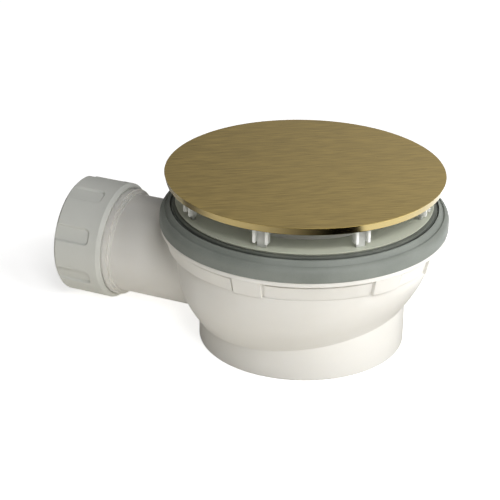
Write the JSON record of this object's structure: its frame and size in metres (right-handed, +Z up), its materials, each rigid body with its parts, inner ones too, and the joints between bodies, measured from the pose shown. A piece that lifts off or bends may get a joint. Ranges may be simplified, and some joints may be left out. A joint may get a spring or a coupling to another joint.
{
  "type": "shower trap",
  "caption": "Low shower trap: round brushed brass cover on short legs over a clamp flange, grey tray seal, leaning white bowl on a round base cup, and a side outlet with a compression nut.",
  "frame": {"origin": "centre of the base cup's underside, on the vertical axis", "axes": "+Z up along the tray hole's axis, the outlet leaves along -X"},
  "size_m": [0.1676, 0.1208, 0.0753],
  "materials": {
    "body_white": "satin moulded polypropylene",
    "seal_grey": "matt moulded rubber",
    "washer_dark": "matt sheet rubber",
    "flange_pale": "satin moulded plastic",
    "ring_black": "smooth moulded rubber",
    "cover_brass": "straight brushed, sealed",
    "carrier_milky": "milky moulded plastic",
    "nut_grey": "fine matt moulded plastic"
  },
  "bodies": {
    "root": {"trap_bowl": "body_white", "top_ring": "body_white", "tray_seal": "seal_grey", "flange_washer": "washer_dark", "clamp_flange": "flange_pale", "dip_tube": "body_white", "dip_tube_o_ring": "ring_black", "cover_plate": "cover_brass", "cover_carrier": "carrier_milky", "compression_nut": "nut_grey", "compression_seal": "ring_black", "slip_washer": "body_white"}
  },
  "joints": []
}
